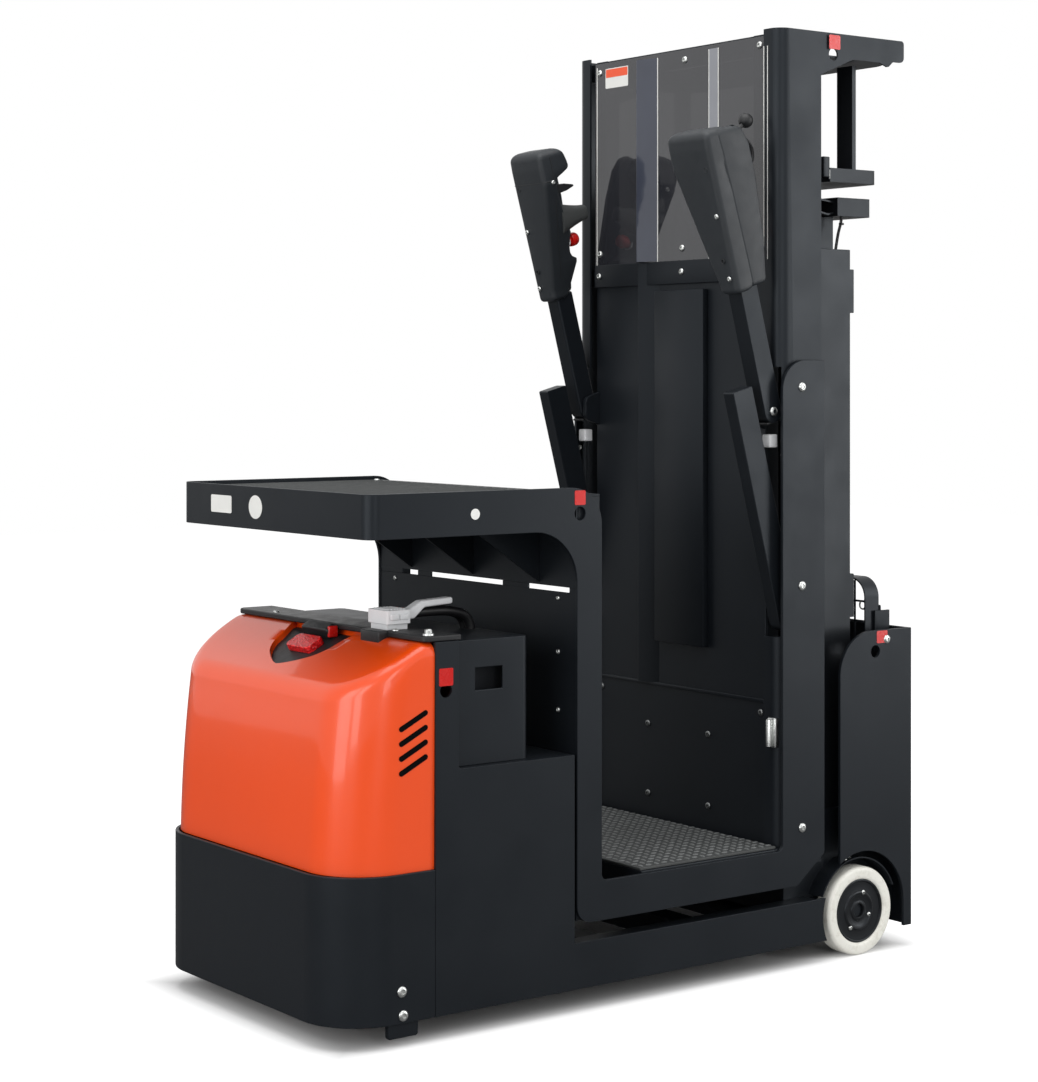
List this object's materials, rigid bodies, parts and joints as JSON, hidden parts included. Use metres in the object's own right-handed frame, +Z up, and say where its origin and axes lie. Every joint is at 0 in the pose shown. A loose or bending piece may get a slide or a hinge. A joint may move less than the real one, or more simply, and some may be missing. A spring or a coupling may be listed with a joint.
{
  "type": "order picker truck",
  "caption": "Electric order picker truck: power unit under an orange cover, riding platform with tray, side guards and clear back window on a telescopic mast.",
  "frame": {"origin": "centre of the truck's plan box, on the floor", "axes": "+X from the power unit at the nose to the mast at the tail, +Z up, -Y is the near side of the picture"},
  "size_m": [1.56, 0.75, 2.088],
  "materials": {
    "black_paint": "satin powder coat",
    "mast_paint": "satin powder coat",
    "orange_cover": "glossy moulded cover",
    "black_plastic": "fine moulded grain",
    "cream_tyre": "smooth cast polyurethane",
    "dark_tyre": "smooth rubber",
    "hub_paint": "satin",
    "black_rubber": "matt rubber",
    "cable_jacket": "satin cable jacket",
    "clear_window": "clear polycarbonate",
    "grey_plastic": "moulded",
    "red_plastic": "glossy",
    "red_lens": "prism reflector",
    "steel": "oiled steel",
    "chrome_rod": "polished",
    "battery_mass": "dark case",
    "drive_paint": "painted casting"
  },
  "bodies": {
    "chassis": {"side_plates": "black_paint", "beam_plates": "black_paint", "chassis_frame": "black_paint", "axle_carriers": "black_paint", "tail_plates": "black_paint", "tail_cross_plate": "black_paint", "guard_grid": "black_paint", "bumper": "black_paint", "hood": "orange_cover", "deck_plate": "black_plastic", "battery_box": "black_paint", "battery_block": "battery_mass", "battery_plug": "grey_plastic", "plug_lever": "grey_plastic", "battery_cables": "cable_jacket", "lamp_lens": "red_lens", "lamp_visor": "black_plastic", "skid_feet": "black_paint", "drive_mount": "black_paint", "mast_outer": "mast_paint", "lift_cylinder": "mast_paint", "tail_guard": "black_paint"},
    "drive_unit": {"drive_housing": "drive_paint"},
    "drive_wheel": {"drive_tyre": "dark_tyre", "drive_hub": "hub_paint"},
    "load_wheel_near": {"load_tyre_near": "cream_tyre", "load_hub_near": "hub_paint"},
    "load_wheel_far": {"load_tyre_far": "cream_tyre", "load_hub_far": "hub_paint"},
    "middle_stage": {"mast_middle": "mast_paint", "lift_rod": "chrome_rod"},
    "inner_stage": {"mast_inner": "mast_paint", "lift_chains": "steel"},
    "carriage": {"carriage_sides": "black_paint", "tray_sides": "black_paint", "tray_rim": "black_paint", "tray_pan": "black_paint", "tray_mat": "black_rubber", "cross_panel": "black_paint", "floor_box": "black_paint", "floor_mat": "black_rubber", "back_panel": "black_paint", "window": "clear_window", "carriage_backframe": "black_paint", "upright_frames": "black_paint", "roof_plate": "black_paint", "guard_brackets": "black_paint"},
    "arm_near": {"guard_arm_near": "black_paint", "guard_pod_near": "black_plastic", "guard_grip_near": "black_plastic", "stop_button_near": "red_plastic"},
    "arm_far": {"guard_arm_far": "black_paint", "guard_pod_far": "black_plastic", "guard_grip_far": "black_plastic", "stop_button_far": "red_plastic"},
    "bar_near": {"guard_bar_near": "black_paint"},
    "bar_far": {"guard_bar_far": "black_paint"}
  },
  "joints": [
    {"name": "steer", "type": "hinge", "parent": "chassis", "child": "drive_unit", "pos_m": [-0.477, 0, 0.268], "axis": [0, 0, 1], "range_deg": [-90, 90]},
    {"name": "drive_spin", "type": "hinge", "parent": "drive_unit", "child": "drive_wheel", "pos_m": [-0.477, 0, 0.105], "axis": [0, 1, 0], "continuous": true},
    {"name": "load_spin_near", "type": "hinge", "parent": "chassis", "child": "load_wheel_near", "pos_m": [0.618, -0.35, 0.1], "axis": [0, 1, 0], "continuous": true},
    {"name": "load_spin_far", "type": "hinge", "parent": "chassis", "child": "load_wheel_far", "pos_m": [0.618, 0.35, 0.1], "axis": [0, 1, 0], "continuous": true},
    {"name": "lift_middle", "type": "slide", "parent": "chassis", "child": "middle_stage", "axis": [0, 0, 1], "range_m": [0, 1]},
    {"name": "lift_inner", "type": "slide", "parent": "middle_stage", "child": "inner_stage", "axis": [0, 0, 1], "range_m": [0, 1]},
    {"name": "lift_carriage", "type": "slide", "parent": "inner_stage", "child": "carriage", "axis": [0, 0, 1], "range_m": [0, 1]},
    {"name": "arm_fold_near", "type": "hinge", "parent": "carriage", "child": "arm_near", "pos_m": [0.37, -0.33, 1.236], "axis": [0, -1, 0], "range_deg": [0, 75]},
    {"name": "bar_fold_near", "type": "hinge", "parent": "carriage", "child": "bar_near", "pos_m": [0.415, -0.335, 0.776], "axis": [0, -1, 0], "range_deg": [0, 75]},
    {"name": "arm_fold_far", "type": "hinge", "parent": "carriage", "child": "arm_far", "pos_m": [0.37, 0.33, 1.236], "axis": [0, -1, 0], "range_deg": [0, 75]},
    {"name": "bar_fold_far", "type": "hinge", "parent": "carriage", "child": "bar_far", "pos_m": [0.415, 0.335, 0.776], "axis": [0, -1, 0], "range_deg": [0, 75]}
  ],
  "couplings": [
    {"joint": "lift_inner", "follows": "lift_middle", "ratio": 1},
    {"joint": "lift_carriage", "follows": "lift_middle", "ratio": 1},
    {"joint": "bar_fold_near", "follows": "arm_fold_near", "ratio": 1},
    {"joint": "bar_fold_far", "follows": "arm_fold_far", "ratio": 1}
  ]
}
